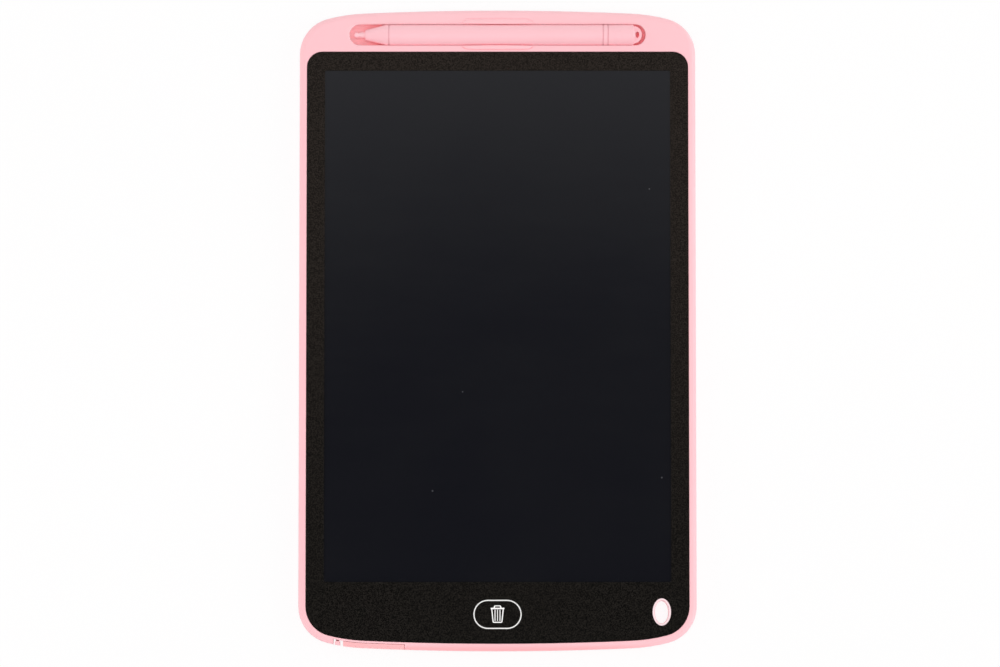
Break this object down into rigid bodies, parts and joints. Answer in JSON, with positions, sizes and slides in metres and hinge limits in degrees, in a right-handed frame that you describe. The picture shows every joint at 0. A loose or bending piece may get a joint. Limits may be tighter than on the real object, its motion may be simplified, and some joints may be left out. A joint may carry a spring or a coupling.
{
  "type": "lcd writing tablet",
  "caption": "Thin handheld writing tablet with a pressure-sensitive screen, an erase key, a pull-out coin cell tray and a stylus held in a trough along its top edge.",
  "frame": {"origin": "middle of the flat back, which is the face the tablet rests on", "axes": "+Z out of the screen, +Y along the length towards the stylus trough, +X to the right as the screen is read"},
  "size_m": [0.16, 0.259, 0.0109],
  "materials": {
    "shell_pink": "satin moulded plastic",
    "pen_pink": "satin moulded plastic",
    "film_black": "fine-textured matt film",
    "lcd_dark": "smooth, slightly glossy",
    "tape_white": "white foam tape or print",
    "flex_amber": "polyimide film",
    "board_green": "solder mask",
    "part_black": "moulded component body",
    "part_tan": "ceramic",
    "switch_metal": "stamped sheet",
    "contact_steel": "spring steel",
    "screw_steel": "plated",
    "cell_steel": "polished can"
  },
  "bodies": {
    "housing": {"front_shell": "shell_pink", "back_cover": "shell_pink", "bezel_film": "film_black", "lcd_sheet": "lcd_dark", "lcd_tape": "tape_white", "lcd_flex_tail": "flex_amber", "circuit_board": "board_green", "board_screw_left": "screw_steel", "board_screw_right": "screw_steel", "tact_switch_body": "part_black", "slide_switch_body": "switch_metal", "driver_chip": "part_black", "boost_inductor": "part_black", "capacitor_1": "part_tan", "capacitor_2": "part_tan", "capacitor_3": "part_tan", "battery_contact_cap": "contact_steel", "battery_contact_rim": "contact_steel"},
    "erase_key": {"erase_key": "film_black", "tact_switch_stem": "part_black"},
    "erase_lock": {"lock_slider": "shell_pink", "slide_switch_stem": "part_black"},
    "battery_tray": {"battery_tray": "shell_pink", "coin_cell": "cell_steel"},
    "tray_latch": {"tray_latch": "shell_pink"},
    "pen": {"pen_nib": "pen_pink", "pen_cone": "pen_pink", "pen_barrel": "pen_pink", "pen_ring": "pen_pink", "pen_cap": "pen_pink"}
  },
  "joints": [
    {"name": "pen_lift", "type": "slide", "parent": "housing", "child": "pen", "axis": [0, 0, 1], "range_m": [0, 0.025]},
    {"name": "erase_key_press", "type": "slide", "parent": "housing", "child": "erase_key", "axis": [0, 0, -1], "range_m": [0, 0.0003], "stiffness_N_per_m": 1500},
    {"name": "erase_lock_slide", "type": "slide", "parent": "housing", "child": "erase_lock", "axis": [1, 0, 0], "range_m": [0, 0.002]},
    {"name": "battery_tray_slide", "type": "slide", "parent": "housing", "child": "battery_tray", "axis": [0, -1, 0], "range_m": [0, 0.026]},
    {"name": "tray_latch_squeeze", "type": "hinge", "parent": "battery_tray", "child": "tray_latch", "pos_m": [-0.06425, -0.1064, 0.00315], "axis": [0, 0, 1], "range_deg": [0, 3], "stiffness_Nm_per_rad": 0.02}
  ]
}
